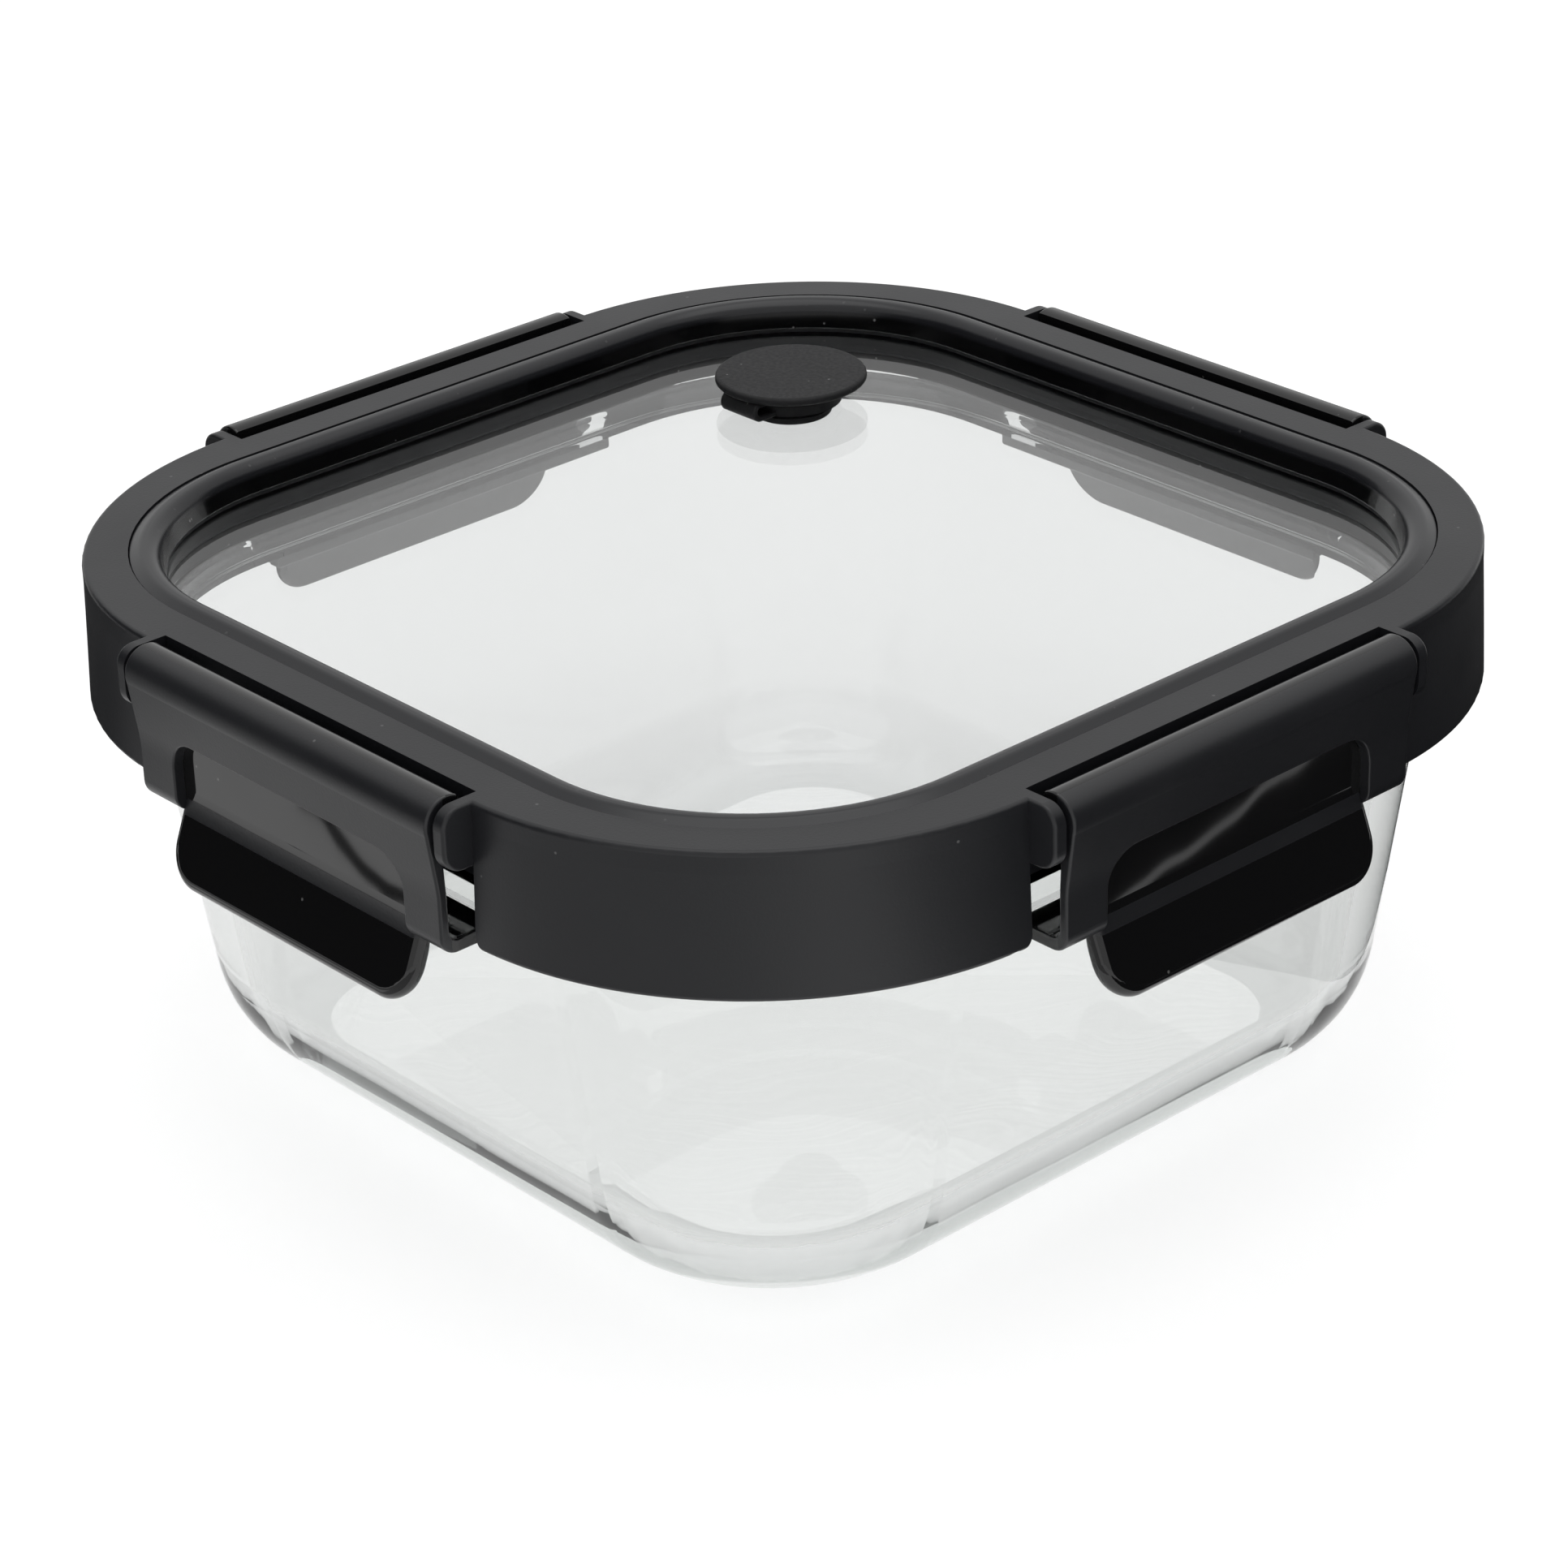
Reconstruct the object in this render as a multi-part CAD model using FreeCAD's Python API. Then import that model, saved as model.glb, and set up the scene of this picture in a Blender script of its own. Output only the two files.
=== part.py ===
import FreeCAD, Part
import math
import os
from FreeCAD import Vector

# Square glass food container with a four-latch lid.  Millimetres, +Z up.
# Origin: centre of the flat underside of the dish.  Front is -Y, right is +X.
# Cross-sections are given as (out, z): "out" is the distance from the centre axis, square to a side.

# ---- overall ----
lid_top = 78.0            # flat top of the lid above the table
window_drop = 4.3         # the window lies this far under the lid's flat top
parting_drop = 3.1        # joint between the lid's frame and its skirt, level with the latch hinges
hinge_z = lid_top - parting_drop

# ---- glass dish ----
dish_corner = 36.0        # centre of the corner arcs of the dish, from each middle plane
base_out = 65.8           # half width where the straight wall would meet the table
wall_draft = 0.1435       # the wall moves out this much for each millimetre of height
wall = 4.0
floor = 5.0
base_round = 17.6
rim_top = 65.0
rim_height = 5.7
rim_out = 79.2
rim_bottom = rim_top - rim_height
rim_root = rim_out - 6.0   # the rim's section reaches this far into the wall

# ---- lid ----
lid_corner = 33.0         # centre of the lid's outer corner arcs
lid_out = 82.4
skirt_flare = 0.7
skirt_bottom = lid_top - 20.2
skirt_wall = 2.0
slot_out = 80.0           # inner wall of each latch's cut-out
slot_half = 32.5
cut_round = 2.0           # lower corners of the skirt beside each cut-out
slot_wall_thick = 1.6
slot_wall_bottom = rim_top + 0.8
lug_wide = 1.9
lug_root = slot_out - 1.5
lug_out = 87.0
lug_drop = 8.8
lug_low_round = 3.0
lug_top_round = 2.7
lug_edge_round = 0.5
opening_corner = 37.0     # centre of the corner arcs round the window
bezel_out = 74.4
bezel_in = 70.2
bezel_gap = 0.1
bead_rise = 0.5           # the bezel's bead stands this much above the frame
wall_lean = 0.8           # the bezel's wall leans in this far on its way down to the window
seal_thick = 0.6
seal_setback = 0.3
glass_out = 73.1
seat_gap = 0.3            # play round the window in its seat
seat_wall = 2.1
glass_thick = 3.0
window_top = lid_top - window_drop
window_bottom = window_top - glass_thick
ledge_in = 70.4
ledge_thick = 2.6
web_thick = 1.9
gasket_in = 71.2
gasket_out = 78.2
gasket_gap = 0.05
gasket_round = 0.5

# ---- latches ----
hinge_out = 84.0
roll_radius = 3.6
pin_radius = 1.2
pin_clearance = 0.05
pin_length = 1.9
socket_depth = 1.3        # into the lug, from the face beside the latch
latch_half = 31.7
face_out = 86.25          # outer face of the lower part of a latch
face_drop = 12.5          # the face is at its full width this far under the lid's top
latch_wall = 1.4
latch_bottom = lid_top - 21.4
shelf_thick = 2.1
hook_tip = 76.0
recess_half = 24.3
recess_top = lid_top - 9.9
recess_out = 84.55
recess_wall = 1.65
tab_half = 25.4
tab_thick = 2.7
tab_angle = 21.5          # degrees that the pull tab flares from upright
tab_bottom = lid_top - 31.0
tab_corner = 5.5
tab_bend = 9.0            # radius between the panel and the tab
bend_z = latch_bottom + 1.6
tab_front_round = 1.5
tab_rear_round = 0.7
roll_flat = 1.6           # the roll is cut flat this far inside its axis, to clear the lid
end_round = 0.4
recess_edge_round = 0.3
backing_margin = 1.5      # the plate behind the recess is larger than it by this, all round
backing_overlap = 0.2

# ---- vent ----
vent_x, vent_y = -41.7, 40.3
cap_radius = 11.3
cap_top = lid_top
cap_thick = 1.2
base_radius = 7.5
base_top = window_top + 1.9
neck_radius = 4.5
neck_gap = 0.1
lip_radius = 6.0          # lip under the window that holds the base in its hole
lip_thick = 1.0
bore_radius = 2.6
stub_radius = 2.2
stub_length = 1.3
seat_lift = 0.1           # gap between the closed cap and its base
strap_half = 3.75
strap_thick = 0.9
strap_bury = 0.3          # the strap starts this far inside the base's edge

UP = Vector(0, 0, 1)


def side_point(out, z):
    """A section point on the right-hand (+X) side."""
    return Vector(out, 0, z)


def outline(corners, place=side_point):
    """Closed face through corners (u, v, radius), each corner rounded to its radius (0 is sharp)."""
    points = [place(u, v) for u, v, _ in corners]
    radii = [radius for _, _, radius in corners]
    count = len(points)
    starts, mids, ends = [], [], []
    for i in range(count):
        here = points[i]
        back = (points[i - 1] - here).normalize()
        ahead = (points[(i + 1) % count] - here).normalize()
        half = back.getAngle(ahead) / 2
        reach = radii[i] / math.tan(half)
        bisector = (back + ahead).normalize() if radii[i] else Vector()
        starts.append(here + back * reach)
        ends.append(here + ahead * reach)
        mids.append(here + bisector * (radii[i] / math.sin(half) - radii[i]))
    edges = []
    for i in range(count):
        if radii[i]:
            edges.append(Part.Arc(starts[i], mids[i], ends[i]).toShape())
        following = starts[(i + 1) % count]
        if ends[i].distanceToPoint(following) > 1e-6:
            edges.append(Part.LineSegment(ends[i], following).toShape())
    return Part.Face(Part.Wire(edges))


def ring(corners, centre):
    """The section swept once round a square with corner arcs centred at (centre, centre)."""
    face = outline(corners)
    pieces = []
    for quarter in range(4):
        straight = face.translated(Vector(0, -centre, 0)).extrude(Vector(0, 2 * centre, 0))
        turn = face.translated(Vector(0, centre, 0)).revolve(Vector(centre, centre, 0), UP, 90)
        for piece in (straight, turn):
            pieces.append(piece.rotated(Vector(), UP, 90 * quarter))
    return pieces[0].multiFuse(pieces[1:]).removeSplitter()


def block(out, centre, bottom, top):
    """Upright solid whose plan is a rounded square."""
    box = Part.makeBox(2 * out, 2 * out, top - bottom, Vector(-out, -out, bottom))
    upright = [edge for edge in box.Edges if abs(edge.tangentAt(0).z) > 0.9]
    return box.makeFillet(out - centre, upright)


def prism(corners, near, far):
    """A side section pulled along Y from near to far."""
    return outline(corners).translated(Vector(0, near, 0)).extrude(Vector(0, far - near, 0))


def all_sides(shape):
    """Four copies of a right-hand shape, one on each side."""
    return [shape.rotated(Vector(), UP, 90 * quarter) for quarter in range(4)]


def disc(radius, bottom, top):
    """Upright cylinder on the vent's axis."""
    return Part.makeCylinder(radius, top - bottom, Vector(vent_x, vent_y, bottom))


def turned(corners):
    """A section (radius, z) turned about the vent's upright axis."""
    face = outline(corners)
    solid = face.revolve(Vector(), UP, 360)
    return solid.translated(Vector(vent_x, vent_y, 0))


def wall_out(z):
    """Outer face of the dish's wall at height z."""
    return base_out + wall_draft * z


def glass_dish():
    lean = math.hypot(1, wall_draft) * wall
    section = [
        (dish_corner, 0, 0),
        (wall_out(0), 0, base_round),
        (wall_out(rim_top), rim_top, 0),
        (wall_out(rim_top) - lean, rim_top, 1.2),
        (wall_out(floor) - lean, floor, base_round - wall),
        (dish_corner, floor, 0),
    ]
    middle = Part.makeBox(2 * dish_corner, 2 * dish_corner, floor, Vector(-dish_corner, -dish_corner, 0))
    rim = ring([
        (rim_root, rim_bottom, 0),
        (rim_out, rim_bottom, 1.2),
        (rim_out, rim_top, 1.5),
        (rim_root, rim_top, 0),
    ], lid_corner)
    return ring(section, dish_corner).multiFuse([middle, rim]).removeSplitter()


def lug(bottom, top):
    """Both hinge lugs of one side, cut to the given heights, with the latch's pin sockets."""
    section = [
        (lug_root, lid_top - lug_drop, 0),
        (lug_out, lid_top - lug_drop, lug_low_round),
        (lug_out, lid_top, lug_top_round),
        (lug_root, lid_top, 0),
    ]
    pair = []
    band = Part.makeBox(20, 200, top - bottom, Vector(lug_root, -100, bottom))
    socket_end = slot_half + socket_depth
    socket = Part.makeCylinder(
        pin_radius + pin_clearance, 2 * socket_end, Vector(hinge_out, -socket_end, hinge_z), Vector(0, 1, 0))
    for side in (-1, 1):
        start = slot_half if side > 0 else -slot_half - lug_wide
        whole = prism(section, start, start + lug_wide)
        tall = [e for e in whole.Edges if is_lug_front_edge(e, side)]
        whole = whole.makeFillet(lug_edge_round, tall)
        pair.append(whole.common(band).cut(socket))
    return pair


def is_lug_front_edge(edge, side):
    """The lug's outer edge on the face away from the latch, past the skirt."""
    away = slot_half + lug_wide
    box = edge.BoundBox
    on_face = abs(box.YMin - side * away) < 0.01 and abs(box.YMax - side * away) < 0.01
    return on_face and box.XMax > lug_out - lug_low_round - 0.1


def lid_frame():
    band = block(lid_out, lid_corner, hinge_z, lid_top)
    rim_edges = [e for e in band.Edges if e.BoundBox.ZMin > lid_top - 0.01]
    band = band.makeFillet(0.7, rim_edges)
    band = band.cut(block(bezel_out + bezel_gap, opening_corner, hinge_z - 1, lid_top + 1))
    slot = Part.makeBox(10, 2 * slot_half, 10, Vector(slot_out, -slot_half, hinge_z - 1))
    band = band.cut(Part.makeCompound(all_sides(slot)))
    lugs = [copy for piece in lug(hinge_z, lid_top) for copy in all_sides(piece)]
    return band.multiFuse(lugs).removeSplitter()


def side_cutout():
    """What a latch takes out of the skirt's right side; it widens in a curve at the skirt's lower edge."""
    cut_half = slot_half + lug_wide
    deep = 10
    below = skirt_bottom - 5
    middle = Part.makeBox(deep, 2 * cut_half, 40, Vector(slot_out, -cut_half, below))
    round_z = skirt_bottom + cut_round
    flares = []
    for side in (-1, 1):
        round_y = side * (cut_half + cut_round)
        start_y = min(round_y, side * cut_half)
        corner = Part.makeBox(deep, cut_round, round_z - below, Vector(slot_out, start_y, below))
        post = Part.makeCylinder(cut_round, deep, Vector(slot_out, round_y, round_z), Vector(1, 0, 0))
        flares.append(corner.cut(post))
    return middle.multiFuse(flares)


def lid_skirt():
    ledge_bottom = window_bottom - ledge_thick
    seat_out = glass_out + seat_gap
    wall_ring = ring([
        (lid_out - skirt_wall, hinge_z, 0),
        (lid_out, hinge_z, 0),
        (lid_out + skirt_flare, skirt_bottom, 0.6),
        (lid_out + skirt_flare - skirt_wall, skirt_bottom, 0.4),
    ], lid_corner)
    slot_wall = block(slot_out, lid_corner, slot_wall_bottom, hinge_z)
    slot_wall = slot_wall.cut(block(slot_out - slot_wall_thick, lid_corner, rim_top, hinge_z + 1))
    web = block(lid_out - 1, lid_corner, ledge_bottom, ledge_bottom + web_thick)
    web = web.cut(block(seat_out, opening_corner, rim_top, hinge_z))
    inner_wall = ring([
        (ledge_in, ledge_bottom, 0.5),
        (seat_out + seat_wall, ledge_bottom, 0),
        (seat_out + seat_wall, hinge_z, 0),
        (seat_out, hinge_z, 0),
        (seat_out, window_bottom, 0),
        (ledge_in, window_bottom, 0.3),
    ], opening_corner)
    body = wall_ring.multiFuse([slot_wall, web, inner_wall])
    body = body.cut(Part.makeCompound(all_sides(side_cutout())))
    lugs = [copy for piece in lug(lid_top - lug_drop, hinge_z) for copy in all_sides(piece)]
    return body.multiFuse(lugs).removeSplitter()


def window_bezel():
    """Inner ring: a rounded bead just above the frame, and a wall that leans in to the window."""
    bead_top = lid_top + bead_rise
    foot = window_top + seal_thick
    return ring([
        (bezel_in - wall_lean, foot, 0.2),
        (glass_out, foot, 0),
        (glass_out, hinge_z, 0),
        (bezel_out, hinge_z, 0),
        (bezel_out, lid_top - 0.25, 0.2),
        (bezel_out - 1.6, bead_top, 1.4),
        (bezel_in + 0.2, bead_top, 2.0),
    ], opening_corner)


def window_seal():
    """Flat band between the bezel's foot and the window."""
    lip = bezel_in - wall_lean + seal_setback
    return ring([
        (lip, window_top, 0.1),
        (glass_out, window_top, 0),
        (glass_out, window_top + seal_thick, 0),
        (lip, window_top + seal_thick, 0.1),
    ], opening_corner)


def window_glass():
    plate = block(glass_out, opening_corner, window_bottom, window_top)
    return plate.cut(disc(neck_radius + neck_gap, window_bottom - 1, window_top + 1))


def rim_gasket():
    """Flat gasket under the ledge and the web, which seals on the top of the dish's rim."""
    bottom = rim_top + gasket_gap
    top = window_bottom - ledge_thick
    band = block(gasket_out, lid_corner, bottom, top)
    band = band.cut(block(gasket_in, opening_corner, bottom - 1, top + 1))
    return rounded(band, gasket_round, is_gasket_lip)


def is_gasket_lip(box):
    """The lower edges of the gasket."""
    return box.ZMax < rim_top + gasket_gap + 0.01


def recess_cutter():
    """Everything in front of the recess floor, with round top corners."""
    face = outline([
        (-recess_half, recess_top, 5.0),
        (recess_half, recess_top, 5.0),
        (recess_half, latch_bottom - 2, 0),
        (-recess_half, latch_bottom - 2, 0),
    ], place=lambda y, z: Vector(recess_out, y, z))
    return face.extrude(Vector(6, 0, 0))


def rounded(shape, radius, chosen):
    """The shape with the chosen edges rounded; chosen is a test on an edge's bounding box."""
    edges = [edge for edge in shape.Edges if chosen(edge.BoundBox)]
    return shape.makeFillet(radius, edges)


def pull_tab():
    """Plate that is the floor of the latch's recess and flares out below it as the finger tab."""
    slope = math.tan(math.radians(tab_angle))
    tip_out = recess_out + slope * (bend_z - tab_bottom)
    back = recess_out - recess_wall
    reach = tab_thick / math.cos(math.radians(tab_angle))
    plate_top = recess_top + 1
    section = [
        (recess_out, plate_top, 0),
        (recess_out, bend_z, tab_bend),
        (tip_out, tab_bottom, 0),
        (tip_out - reach, tab_bottom, 0),
        (back, bend_z - (back + reach - recess_out) / slope, tab_bend),
        (back, plate_top, 0),
    ]
    plate = prism(section, -tab_half, tab_half)
    plan = outline([
        (-tab_half, plate_top, 0),
        (tab_half, plate_top, 0),
        (tab_half, tab_bottom, tab_corner),
        (-tab_half, tab_bottom, tab_corner),
    ], place=lambda y, z: Vector(hook_tip, y, z))
    plate = plate.common(plan.extrude(Vector(30, 0, 0)))
    front = [edge for edge in plate.Edges if is_tab_edge(edge, 0.0, reach / 2)]
    plate = plate.makeFillet(tab_front_round, front)
    rear = [edge for edge in plate.Edges if is_tab_edge(edge, reach, reach / 2)]
    return plate.makeFillet(tab_rear_round, rear)


def is_tab_edge(edge, depth, margin):
    """On the tab's outline below the latch, about this far behind its front face."""
    slope = math.tan(math.radians(tab_angle))
    middle = edge.valueAt((edge.FirstParameter + edge.LastParameter) / 2)
    if middle.z > latch_bottom - 1 or edge.Length < 1.5:
        return False
    front = recess_out + slope * (bend_z - middle.z)
    on_outline = abs(middle.y) > tab_half - 2 or middle.z < tab_bottom + 2
    lengthwise = abs(edge.tangentAt((edge.FirstParameter + edge.LastParameter) / 2).x) < 0.45
    return on_outline and lengthwise and abs(front - depth - middle.x) < margin


def latch():
    """The right-hand latch: roll, wall, hook shelf, dished panel, pull tab and its two stub pins."""
    flat_rise = math.sqrt(roll_radius ** 2 - roll_flat ** 2)
    inner = face_out - latch_wall
    shelf_top = latch_bottom + shelf_thick
    bulge_z = lid_top - face_drop
    arm = prism([
        (hinge_out, hinge_z - 2.5, 0),
        (hinge_out + 1.0, hinge_z - 6.0, 1.0),
        (inner, bulge_z, 0),
        (inner, shelf_top, 1.2),
        (hook_tip, shelf_top, 0.5),
        (hook_tip, latch_bottom, 0.5),
        (face_out, latch_bottom, 2.6),
        (face_out, bulge_z, 20.0),
        (hinge_out + roll_radius, hinge_z, 0),
    ], -latch_half, latch_half)
    roll = Part.makeCylinder(
        roll_radius, 2 * latch_half, Vector(hinge_out, -latch_half, hinge_z), Vector(0, 1, 0))
    trim_start = Vector(hinge_out - roll_flat - roll_radius, -latch_half, hinge_z - flat_rise)
    trim = Part.makeBox(roll_radius, 2 * latch_half, 2 * flat_rise, trim_start)
    shell = arm.fuse(roll.cut(trim)).removeSplitter()
    shell = rounded(shell, end_round, is_end_edge)
    back = recess_out - recess_wall
    backing_half = recess_half + backing_margin
    backing_high = recess_top + backing_margin - shelf_top
    backing_deep = inner + backing_overlap - back
    backing_start = Vector(back, -backing_half, shelf_top)
    backing = Part.makeBox(backing_deep, 2 * backing_half, backing_high, backing_start)
    shell = rounded(shell.fuse(backing).cut(recess_cutter()), recess_edge_round, is_recess_edge)
    pin_reach = latch_half + pin_length
    pins = Part.makeCylinder(
        pin_radius, 2 * pin_reach, Vector(hinge_out, -pin_reach, hinge_z), Vector(0, 1, 0))
    return shell.multiFuse([pull_tab(), pins]).removeSplitter()


def is_end_edge(box):
    """The outer profile of a latch at either end of it."""
    at_end = abs(abs(box.YMin) - latch_half) < 0.01 and box.YLength < 0.01
    return at_end and box.XMax > hinge_out + 2.0 and box.XMin > hinge_out - roll_flat - 0.01


def is_recess_edge(box):
    """Where the recess's sides meet the latch's outer face."""
    inside = box.YMin > -recess_half - 0.01 and box.YMax < recess_half + 0.01
    above_tab = box.ZMin > latch_bottom + 1.0 and box.ZMax < recess_top + 0.1
    return inside and above_tab and box.XMin > face_out - 0.5


def vent_base():
    lip_bottom = window_bottom - lip_thick
    return turned([
        (bore_radius, lip_bottom, 0),
        (lip_radius, lip_bottom, 0.4),
        (lip_radius, window_bottom, 0),
        (neck_radius, window_bottom, 0),
        (neck_radius, window_top, 0),
        (base_radius, window_top, 0),
        (base_radius, base_top, 0.6),
        (bore_radius, base_top, 0.5),
    ])


def vent_cap():
    under = cap_top - cap_thick
    seat = base_top + seat_lift
    stub_end = seat - stub_length
    return turned([
        (0, stub_end, 0),
        (stub_radius, stub_end, 0.8),
        (stub_radius, seat, 0),
        (base_radius - 1.5, seat, 0.3),
        (base_radius - 1.0, under, 0),
        (cap_radius, under, 0.4),
        (cap_radius, cap_top, 0.6),
        (0, cap_top, 0),
    ])


def vent_strap():
    """Band folded in a U from the base's edge to the underside of the cap."""
    top = cap_top - cap_thick
    radius = (top - window_top) / 2
    fold_y = vent_y - cap_radius + 0.4 + radius
    base_edge = vent_y - base_radius + strap_bury
    cap_edge = vent_y - base_radius + 0.9
    middle = window_top + radius
    inner = radius - strap_thick

    def at(y, z):
        return Vector(vent_x - strap_half, y, z)

    edges = [
        Part.LineSegment(at(base_edge, window_top), at(fold_y, window_top)),
        Part.Arc(at(fold_y, window_top), at(fold_y - radius, middle), at(fold_y, top)),
        Part.LineSegment(at(fold_y, top), at(cap_edge, top)),
        Part.LineSegment(at(cap_edge, top), at(cap_edge, top - strap_thick)),
        Part.LineSegment(at(cap_edge, top - strap_thick), at(fold_y, top - strap_thick)),
        Part.Arc(at(fold_y, middle + inner), at(fold_y - inner, middle), at(fold_y, middle - inner)),
        Part.LineSegment(at(fold_y, middle - inner), at(base_edge, middle - inner)),
        Part.LineSegment(at(base_edge, middle - inner), at(base_edge, window_top)),
    ]
    face = Part.Face(Part.Wire([edge.toShape() for edge in edges]))
    band = face.extrude(Vector(2 * strap_half, 0, 0))
    return band.cut(vent_base()).cut(vent_cap())


def build():
    nodes = {
        "glass_dish": glass_dish(),
        "lid_frame": lid_frame(),
        "lid_skirt": lid_skirt(),
        "window_bezel": window_bezel(),
        "window_seal": window_seal(),
        "window_glass": window_glass(),
        "rim_gasket": rim_gasket(),
        "vent_base": vent_base(),
        "vent_strap": vent_strap(),
        "vent_cap": vent_cap(),
    }
    right = latch()
    for name, degrees in (("right_latch", 0), ("back_latch", 90), ("left_latch", 180), ("front_latch", 270)):
        nodes[name] = right.rotated(Vector(), UP, degrees)
    return nodes


os.makedirs("parts", exist_ok=True)
for name, shape in build().items():
    state = "valid" if shape.isValid() else "NOT VALID"
    print(name, state, len(shape.Solids), round(shape.Volume / 1000, 2), "cm3")
    shape.exportStep(f"parts/{name}.step")
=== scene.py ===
import bpy
import math
from mathutils import Matrix, Vector


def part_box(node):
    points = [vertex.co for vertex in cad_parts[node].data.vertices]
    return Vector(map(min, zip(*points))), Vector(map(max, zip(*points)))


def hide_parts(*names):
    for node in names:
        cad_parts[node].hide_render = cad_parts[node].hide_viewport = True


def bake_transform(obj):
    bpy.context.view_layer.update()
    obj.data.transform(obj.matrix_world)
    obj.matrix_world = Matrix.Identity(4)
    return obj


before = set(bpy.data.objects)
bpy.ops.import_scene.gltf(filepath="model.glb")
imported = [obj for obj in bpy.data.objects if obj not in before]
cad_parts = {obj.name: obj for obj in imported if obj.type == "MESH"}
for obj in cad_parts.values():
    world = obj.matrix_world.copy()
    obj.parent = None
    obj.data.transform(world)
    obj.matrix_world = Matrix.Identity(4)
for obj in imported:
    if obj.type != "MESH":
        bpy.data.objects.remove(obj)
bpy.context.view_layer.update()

# The look of a square glass container with a four-latch lid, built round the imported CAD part.
# Metres, +Z up.  Texture scales are in cells per metre.
MM = 0.001
LID_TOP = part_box("lid_frame")[1].z
LATCH_BOTTOM = LID_TOP - 21.4 * MM
RECESS_OUT = 84.55 * MM         # the dished panel of each latch lies this far from the centre axis
STRAP_THICK = 0.9 * MM
STRAP_EDGE = 0.2 * MM

SATIN_DARK = (0.0070, 0.0074, 0.0092)
SATIN_LIGHT = (0.0100, 0.0104, 0.0124)
POLISHED_LATCH = (0.0045, 0.0045, 0.0048)
POLISHED_BEZEL = (0.0020, 0.0020, 0.0022)
DUST_GREY = (0.20, 0.20, 0.20)
SATIN_IOR = 1.45
GRAIN_SCALE = 2600
CLOUD_SCALE = 45
GRAIN_HEIGHT = 0.03 * MM
PANEL_WAVE = 0.22 * MM

LIGHT_TABLE_GLOW = 0.69
WORLD_GLOW = 0.80
CAMERA_AZIMUTH, CAMERA_ELEVATION, CAMERA_ROLL = 48.40, 26.78, -1.84
CAMERA_DISTANCE = 0.635
CAMERA_LENS = 106.1
AIM_RIGHT, AIM_DOWN = 0.6 * MM, 35.2 * MM      # aim point, from the centre of the lid's top


# ---- node helpers ----
def new_material(name):
    material = bpy.data.materials.new(name)
    material.use_nodes = True
    tree = material.node_tree
    return material, tree, tree.nodes["Principled BSDF"]


def link(tree, source, target):
    tree.links.new(source, target)


def add_node(tree, kind, **settings):
    node = tree.nodes.new(kind)
    for key, value in settings.items():
        setattr(node, key, value)
    return node


def object_point(tree):
    return add_node(tree, "ShaderNodeTexCoord").outputs["Object"]


def noise(tree, scale, detail, roughness=0.5):
    """A value from 0 to 1 that varies over about 1/scale metres."""
    node = add_node(tree, "ShaderNodeTexNoise")
    node.inputs["Scale"].default_value = scale
    node.inputs["Detail"].default_value = detail
    node.inputs["Roughness"].default_value = roughness
    link(tree, object_point(tree), node.inputs["Vector"])
    return node.outputs["Fac"]


def remap(tree, value, low, high, to_low, to_high):
    node = add_node(tree, "ShaderNodeMapRange", clamp=True)
    link(tree, value, node.inputs["Value"])
    ends = {"From Min": low, "From Max": high, "To Min": to_low, "To Max": to_high}
    for key, number in ends.items():
        node.inputs[key].default_value = number
    return node.outputs["Result"]


def calculate(tree, operation, first, second=None):
    node = add_node(tree, "ShaderNodeMath", operation=operation)
    for socket, value in zip(node.inputs, (first, second)):
        if isinstance(value, (int, float)):
            socket.default_value = value
        elif value is not None:
            link(tree, value, socket)
    return node.outputs[0]


def blend_colours(tree, factor, first, second):
    node = add_node(tree, "ShaderNodeMix", data_type="RGBA")
    link(tree, factor, node.inputs["Factor"])
    for key, value in (("A", first), ("B", second)):
        socket = [s for s in node.inputs if s.name == key and s.type == "RGBA"][0]
        if isinstance(value, tuple):
            socket.default_value = (*value, 1)
        else:
            link(tree, value, socket)
    return [s for s in node.outputs if s.type == "RGBA"][0]


def specks(tree, cells, size, share):
    """1 on tiny dust specks; size is a share of a cell, and share is how many of the cells hold one."""
    node = add_node(tree, "ShaderNodeTexVoronoi")
    node.inputs["Scale"].default_value = cells
    link(tree, object_point(tree), node.inputs["Vector"])
    near = remap(tree, node.outputs["Distance"], size, size * 0.6, 0, 1)
    split = add_node(tree, "ShaderNodeSeparateColor")
    link(tree, node.outputs["Color"], split.inputs["Color"])
    chosen = calculate(tree, "LESS_THAN", split.outputs[0], share)
    return calculate(tree, "MULTIPLY", near, chosen)


def bump(tree, height, distance, strength, normal=None):
    node = add_node(tree, "ShaderNodeBump")
    node.inputs["Distance"].default_value = distance
    node.inputs["Strength"].default_value = strength
    link(tree, height, node.inputs["Height"])
    if normal is not None:
        link(tree, normal, node.inputs["Normal"])
    return node.outputs["Normal"]


# ---- materials ----
def satin_plastic():
    """Black moulded plastic with a fine grain, faint flow clouds and a little dust."""
    material, tree, shader = new_material("satin_black_plastic")
    grain = noise(tree, GRAIN_SCALE, 2.0)
    cloud = noise(tree, CLOUD_SCALE, 3.0)
    dust = specks(tree, 420, 0.11, 0.05)
    body = blend_colours(tree, cloud, SATIN_DARK, SATIN_LIGHT)
    colour = blend_colours(tree, calculate(tree, "MULTIPLY", dust, 0.35), body, DUST_GREY)
    link(tree, colour, shader.inputs["Base Color"])
    link(tree, remap(tree, cloud, 0.3, 0.7, 0.36, 0.43), shader.inputs["Roughness"])
    link(tree, bump(tree, grain, GRAIN_HEIGHT, 0.5), shader.inputs["Normal"])
    shader.inputs["IOR"].default_value = SATIN_IOR
    return material


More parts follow.
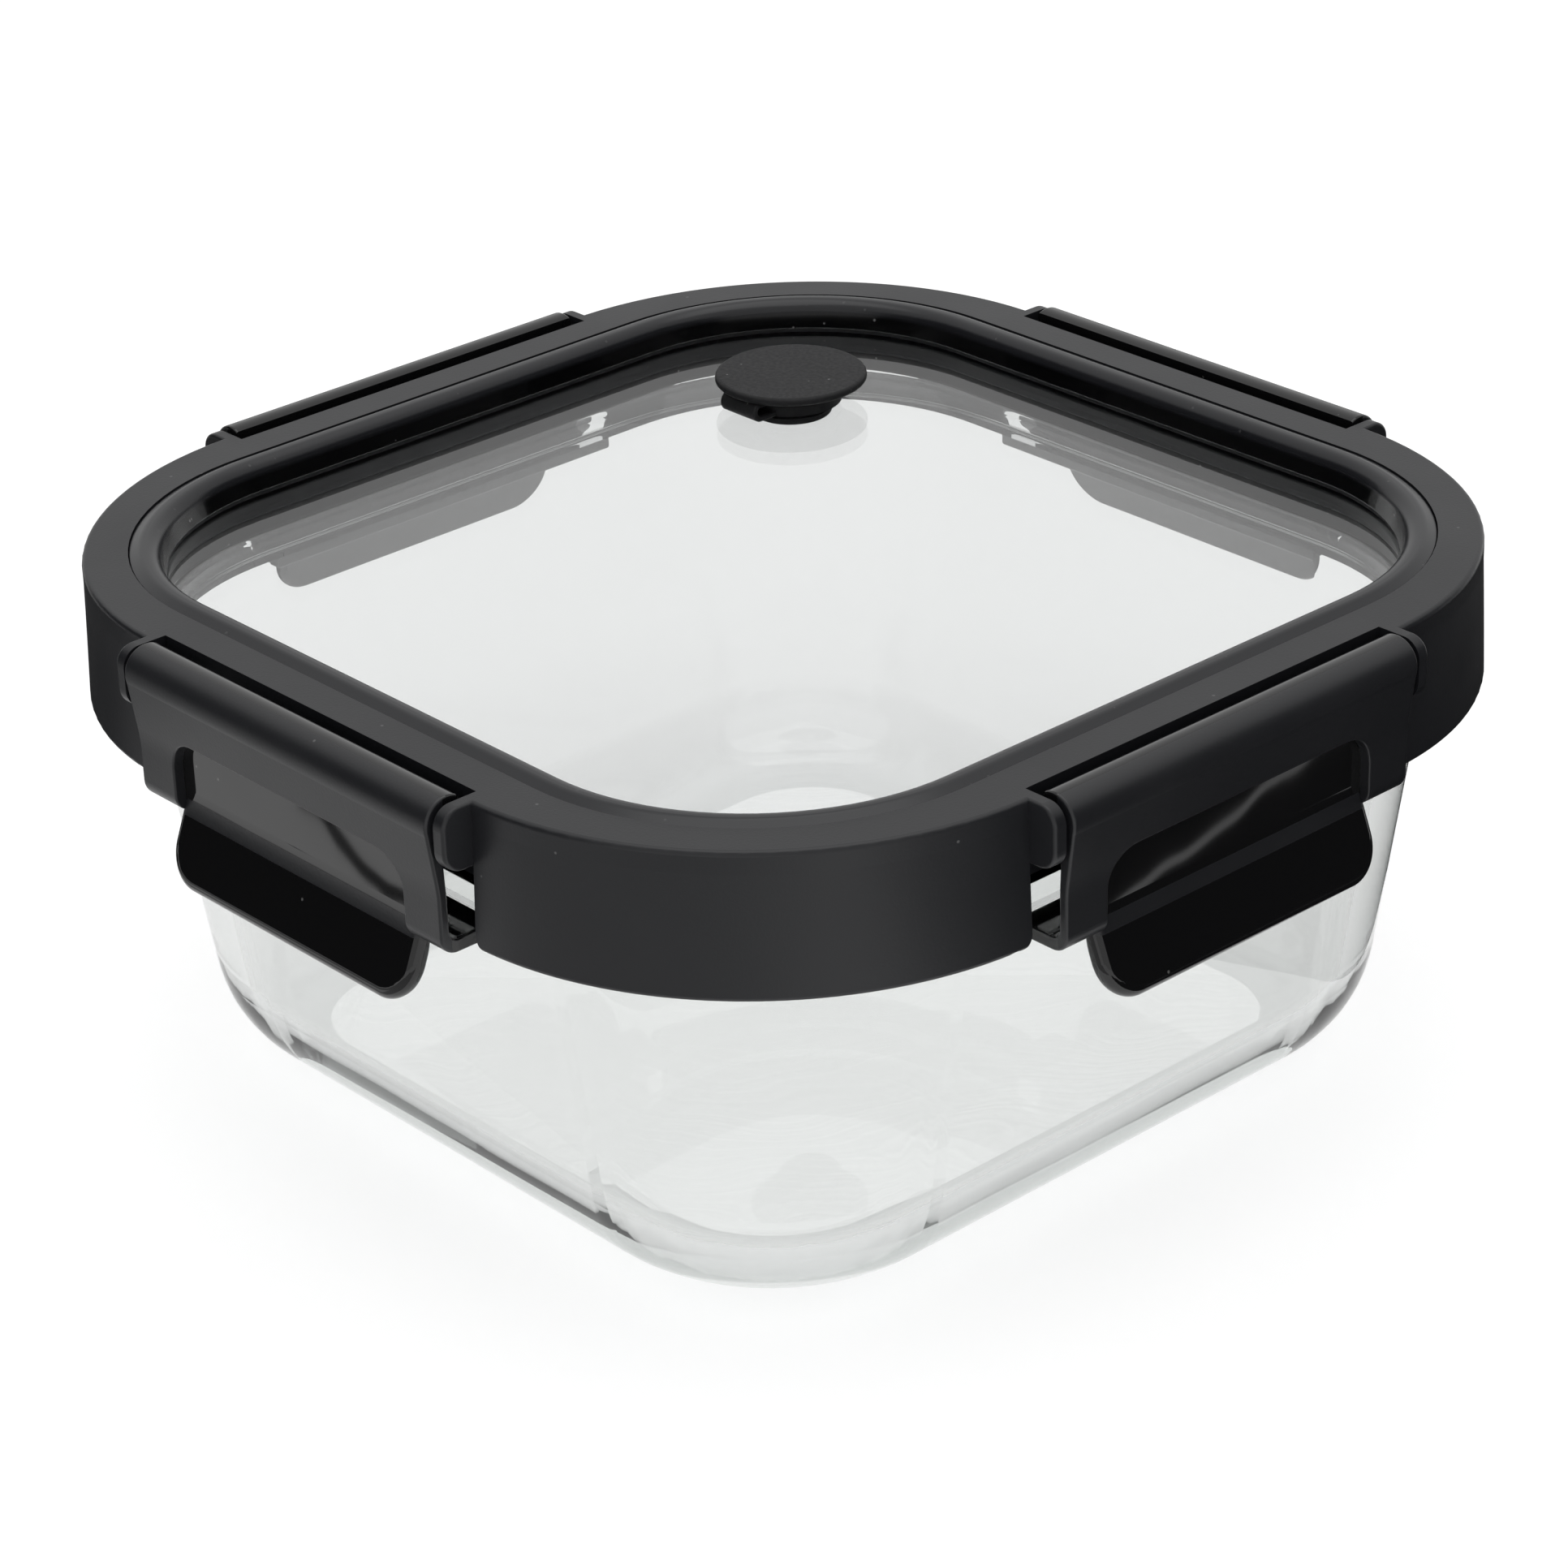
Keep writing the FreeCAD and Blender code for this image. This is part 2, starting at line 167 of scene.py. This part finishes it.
def latch_plastic():
    """The same plastic, but polished in the dished panel and on the pull tab."""
    material, tree, shader = new_material("latch_black_plastic")
    split = add_node(tree, "ShaderNodeSeparateXYZ")
    link(tree, object_point(tree), split.inputs["Vector"])
    across = calculate(tree, "ABSOLUTE", split.outputs["X"])
    along = calculate(tree, "ABSOLUTE", split.outputs["Y"])
    out = calculate(tree, "MAXIMUM", across, along)
    panel = calculate(tree, "LESS_THAN", out, RECESS_OUT + 0.1 * MM)
    tab = calculate(tree, "LESS_THAN", split.outputs["Z"], LATCH_BOTTOM - 0.2 * MM)
    gloss = calculate(tree, "MAXIMUM", panel, tab)
    grain = noise(tree, GRAIN_SCALE, 2.0)
    cloud = noise(tree, CLOUD_SCALE, 3.0)
    wave = noise(tree, 60, 1.0)
    dust = specks(tree, 420, 0.11, 0.05)
    satin = blend_colours(tree, cloud, SATIN_DARK, SATIN_LIGHT)
    body = blend_colours(tree, gloss, satin, POLISHED_LATCH)
    colour = blend_colours(tree, calculate(tree, "MULTIPLY", dust, 0.35), body, DUST_GREY)
    link(tree, colour, shader.inputs["Base Color"])
    satin_rough = remap(tree, cloud, 0.3, 0.7, 0.36, 0.43)
    rough = calculate(tree, "MULTIPLY", satin_rough, remap(tree, gloss, 0, 1, 1.0, 0.12))
    link(tree, rough, shader.inputs["Roughness"])
    fine = calculate(tree, "MULTIPLY", grain, remap(tree, gloss, 0, 1, 1.0, 0.0))
    wavy = calculate(tree, "MULTIPLY", wave, remap(tree, gloss, 0, 1, 0.0, 1.0))
    normal = bump(tree, fine, GRAIN_HEIGHT, 0.5)
    link(tree, bump(tree, wavy, PANEL_WAVE, 0.5, normal), shader.inputs["Normal"])
    shader.inputs["IOR"].default_value = 1.5
    return material


def bezel_plastic():
    """Black plastic of the bezel: a satin bead over a polished, dusty inner wall."""
    material, tree, shader = new_material("bezel_black_plastic")
    split = add_node(tree, "ShaderNodeSeparateXYZ")
    link(tree, object_point(tree), split.inputs["Vector"])
    gloss = remap(tree, split.outputs["Z"], LID_TOP - 1.6 * MM, LID_TOP - 1.0 * MM, 1, 0)
    cloud = noise(tree, 60, 2.0)
    dust = specks(tree, 620, 0.16, 0.16)
    satin = blend_colours(tree, cloud, SATIN_DARK, SATIN_LIGHT)
    body = blend_colours(tree, gloss, satin, POLISHED_BEZEL)
    shown = calculate(tree, "MULTIPLY", dust, remap(tree, gloss, 0, 1, 0.10, 0.45))
    link(tree, blend_colours(tree, shown, body, (0.25, 0.25, 0.25)), shader.inputs["Base Color"])
    link(tree, remap(tree, gloss, 0, 1, 0.27, 0.10), shader.inputs["Roughness"])
    link(tree, bump(tree, cloud, 0.10 * MM, 0.4), shader.inputs["Normal"])
    shader.inputs["IOR"].default_value = SATIN_IOR
    return material


def silicone():
    """Matte black silicone with a dry, dusty surface."""
    material, tree, shader = new_material("black_silicone")
    grain = noise(tree, 1500, 3.0, 0.6)
    cloud = noise(tree, 150, 3.0)
    dust = specks(tree, 650, 0.14, 0.12)
    body = blend_colours(tree, cloud, (0.006, 0.006, 0.007), (0.012, 0.012, 0.013))
    colour = blend_colours(tree, calculate(tree, "MULTIPLY", dust, 0.5), body, (0.30, 0.30, 0.30))
    link(tree, colour, shader.inputs["Base Color"])
    link(tree, remap(tree, grain, 0.3, 0.7, 0.50, 0.64), shader.inputs["Roughness"])
    link(tree, bump(tree, grain, 0.05 * MM, 0.5), shader.inputs["Normal"])
    shader.inputs["IOR"].default_value = 1.33
    return material


def clear_glass(name, wave_height, tint, depth_tint, density):
    """Clear glass, faintly wavy, that lets lamp light through and looks greyer the thicker it is."""
    material, tree, shader = new_material(name)
    wave = noise(tree, 30, 1.0)
    smear = noise(tree, 90, 3.0)
    shader.inputs["Base Color"].default_value = (*tint, 1)
    shader.inputs["Transmission Weight"].default_value = 1.0
    shader.inputs["IOR"].default_value = 1.47
    link(tree, remap(tree, smear, 0.5, 0.8, 0.0, 0.01), shader.inputs["Roughness"])
    link(tree, bump(tree, wave, wave_height, 0.5), shader.inputs["Normal"])
    clear = add_node(tree, "ShaderNodeBsdfTransparent")
    clear.inputs["Color"].default_value = (0.96, 0.97, 0.97, 1)
    path = add_node(tree, "ShaderNodeLightPath")
    mix = add_node(tree, "ShaderNodeMixShader")
    link(tree, path.outputs["Is Shadow Ray"], mix.inputs[0])
    link(tree, shader.outputs["BSDF"], mix.inputs[1])
    link(tree, clear.outputs["BSDF"], mix.inputs[2])
    output = tree.nodes["Material Output"]
    link(tree, mix.outputs[0], output.inputs["Surface"])
    depth = add_node(tree, "ShaderNodeVolumeAbsorption")
    depth.inputs["Color"].default_value = (*depth_tint, 1)
    depth.inputs["Density"].default_value = density
    link(tree, depth.outputs["Volume"], output.inputs["Volume"])
    return material


def floor_paper():
    """A light table: white translucent sheet, partly lit from below, so that shadows stay faint."""
    material, tree, shader = new_material("floor_paper")
    fibre = noise(tree, 400, 3.0)
    colour = blend_colours(tree, fibre, (0.40, 0.40, 0.40), (0.42, 0.42, 0.42))
    link(tree, colour, shader.inputs["Base Color"])
    shader.inputs["Emission Color"].default_value = (1, 1, 1, 1)
    shader.inputs["Emission Strength"].default_value = LIGHT_TABLE_GLOW
    material.cycles.emission_sampling = "NONE"
    shader.inputs["Roughness"].default_value = 0.9
    shader.inputs["Specular IOR Level"].default_value = 0.1
    return material


def dark_card():
    material, tree, shader = new_material("dark_card")
    felt = noise(tree, 300, 3.0)
    colour = blend_colours(tree, felt, (0.004, 0.004, 0.004), (0.008, 0.008, 0.008))
    link(tree, colour, shader.inputs["Base Color"])
    shader.inputs["Roughness"].default_value = 1.0
    shader.inputs["Specular IOR Level"].default_value = 0.0
    return material


def glowing_card(glow):
    material, _, shader = new_material("glowing_card")
    shader.inputs["Base Color"].default_value = (0, 0, 0, 1)
    shader.inputs["Specular IOR Level"].default_value = 0.0
    shader.inputs["Emission Color"].default_value = (1, 1, 1, 1)
    shader.inputs["Emission Strength"].default_value = glow
    material.cycles.emission_sampling = "NONE"
    return material


def strap_stations(end_y, fold_y, low_z, high_z):
    """Centre line of the folded strap, from base to cap: (y, z, way the outer face looks)."""
    radius = (high_z - low_z - STRAP_THICK) / 2
    middle_z = (low_z + high_z) / 2
    legs = [end_y + (fold_y - end_y) * i / 5 for i in range(5)]
    turns = [math.radians(-90 - 180 * i / 18) for i in range(19)]
    lower = [(y, middle_z - radius, turns[0]) for y in legs]
    fold = [(fold_y + radius * math.cos(a), middle_z + radius * math.sin(a), a) for a in turns]
    upper = [(y, middle_z + radius, turns[-1]) for y in reversed(legs)]
    return lower + fold + upper


def build_strap(material):
    """The vent's strap, built from many sections along its folded centre line."""
    low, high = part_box("vent_strap")
    half_x, half_t = (high.x - low.x) / 2, STRAP_THICK / 2
    flat_x, flat_t = half_x - STRAP_EDGE, half_t - STRAP_EDGE
    loop = [
        (-half_x, -flat_t), (-half_x, flat_t), (-flat_x, half_t), (flat_x, half_t),
        (half_x, flat_t), (half_x, -flat_t), (flat_x, -half_t), (-flat_x, -half_t),
    ]
    middle_x = (low.x + high.x) / 2
    fold_y = low.y + (high.z - low.z) / 2
    points = []
    for y, z, angle in strap_stations(high.y, fold_y, low.z, high.z):
        for x, offset in loop:
            point = (middle_x + x, y + offset * math.cos(angle), z + offset * math.sin(angle))
            points.append(point)
    sides = len(loop)
    faces = [tuple(range(sides)), tuple(reversed(range(len(points) - sides, len(points))))]
    for start in range(0, len(points) - sides, sides):
        for i in range(sides):
            j = (i + 1) % sides
            faces.append((start + j, start + i, start + sides + i, start + sides + j))
    mesh = bpy.data.meshes.new("strap_visual")
    mesh.from_pydata(points, [], faces)
    mesh.materials.append(material)
    mesh.shade_smooth()
    mesh.set_sharp_from_angle(angle=math.radians(35))
    strap = bpy.data.objects.new("strap_visual", mesh)
    bpy.context.scene.collection.objects.link(strap)
    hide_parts("vent_strap")
    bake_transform(strap)


def paint_nodes():
    satin = satin_plastic()
    latch = latch_plastic()
    bezel = bezel_plastic()
    soft = silicone()
    dish = clear_glass("dish_glass", 0.20 * MM, (0.930, 0.932, 0.930), (0.735, 0.755, 0.745), 75)
    pane = clear_glass("window_glass", 0.02 * MM, (0.930, 0.934, 0.934), (0.80, 0.82, 0.82), 50)
    materials = {
        "glass_dish": dish,
        "window_glass": pane,
        "lid_frame": satin,
        "lid_skirt": satin,
        "window_bezel": bezel,
        "window_seal": soft,
        "rim_gasket": soft,
        "vent_base": soft,
        "vent_strap": soft,
        "vent_cap": soft,
        "front_latch": latch,
        "right_latch": latch,
        "back_latch": latch,
        "left_latch": latch,
    }
    for name, material in materials.items():
        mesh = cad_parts[name].data
        mesh.materials.clear()
        mesh.materials.append(material)
    build_strap(soft)


# ---- stage ----
def plane(name, width, depth, place, turn, material):
    mesh = bpy.data.meshes.new(name)
    x, y = width / 2, depth / 2
    mesh.from_pydata([(-x, -y, 0), (x, -y, 0), (x, y, 0), (-x, y, 0)], [], [(0, 1, 2, 3)])
    mesh.materials.append(material)
    obj = bpy.data.objects.new(name, mesh)
    obj.location = place
    obj.rotation_euler = [math.radians(a) for a in turn]
    bpy.context.scene.collection.objects.link(obj)
    return obj


def card(name, width, height, place, turn, material):
    """A card that shows in reflections only; an upright one also shows through glass."""
    obj = plane(name, width, height, place, turn, material)
    obj.visible_camera = False
    obj.visible_shadow = False
    obj.visible_diffuse = False
    obj.visible_transmission = turn[0] == 90


def build_stage():
    """Floor, and the black, grey and white cards that the plastic and the glass mirror."""
    plane("floor", 8, 8, (0, 0, 0), (0, 0, 0), floor_paper())
    black = dark_card()
    card("card_right_flat", 0.54, 0.36, (0.31, 0.21, 0.002), (0, 0, 47.6), black)
    card("card_right", 0.9, 0.40, (0.50, 0.36, 0.20), (90, 0, 126), black)
    card("card_left", 0.9, 0.40, (-0.32, -0.38, 0.20), (90, 0, -42), black)
    card("card_far_left", 0.20, 0.30, (-0.23, -0.03, 0.002), (0, 0, 0), black)
    card("card_far_right", 0.22, 0.20, (0.09, 0.24, 0.002), (0, 0, 0), black)
    # Grey sheet on the floor in front, seen only in reflections: partly the dark camera stand, partly
    # painted shade where the camera shades the floor.
    card("camera_shade_card", 0.52, 0.22, (-0.05, -0.23, 0.0015), (0, 0, 0), glowing_card(0.50))
    card("pale_left", 0.13, 0.05, (-0.093, -0.167, 0.003), (0, 0, 0), glowing_card(1.05))
    card("streak_left", 0.045, 0.0024, (-0.079, -0.151, 0.004), (0, 0, 15), black)
    card("streak_right", 0.002, 0.09, (0.1635, 0.088, 0.004), (0, 0, -12), glowing_card(1.0))


def area_light(name, size, power, place, target):
    data = bpy.data.lights.new(name, "AREA")
    data.shape = "RECTANGLE"
    data.size, data.size_y = size
    data.energy = power
    obj = bpy.data.objects.new(name, data)
    obj.location = place
    aim = Vector(target) - Vector(place)
    obj.rotation_euler = aim.to_track_quat("-Z", "Y").to_euler()
    bpy.context.scene.collection.objects.link(obj)


def light_scene():
    world = bpy.data.worlds.new("studio")
    world.use_nodes = True
    background = world.node_tree.nodes["Background"]
    background.inputs["Color"].default_value = (1.0, 1.0, 1.0, 1)
    background.inputs["Strength"].default_value = WORLD_GLOW
    world.cycles.sampling_method = "NONE"
    bpy.context.scene.world = world
    area_light("softbox_top", (1.4, 1.4), 7, (0.0, 0.1, 1.5), (0, 0, 0))


def set_camera():
    """The photograph's viewing angle: azimuth from the front, elevation and roll, in degrees."""
    azimuth, elevation = math.radians(CAMERA_AZIMUTH), math.radians(CAMERA_ELEVATION)
    roll = math.radians(CAMERA_ROLL)
    back = Vector((
        math.sin(azimuth) * math.cos(elevation),
        -math.cos(azimuth) * math.cos(elevation),
        math.sin(elevation),
    ))
    right = Vector((math.cos(azimuth), math.sin(azimuth), 0))
    up = back.cross(right)
    right, up = (
        right * math.cos(roll) + up * math.sin(roll),
        up * math.cos(roll) - right * math.sin(roll),
    )
    aim = Vector((0, 0, LID_TOP)) + right * AIM_RIGHT - up * AIM_DOWN
    data = bpy.data.cameras.new("camera")
    data.lens = CAMERA_LENS
    data.sensor_width = 36
    data.clip_start, data.clip_end = 0.01, 50
    camera = bpy.data.objects.new("camera", data)
    rotation = Matrix((right, up, back)).transposed()
    camera.matrix_world = Matrix.Translation(aim + back * CAMERA_DISTANCE) @ rotation.to_4x4()
    bpy.context.scene.collection.objects.link(camera)
    bpy.context.scene.camera = camera


paint_nodes()
build_stage()
light_scene()
set_camera()
bpy.context.scene.view_settings.view_transform = "Standard"
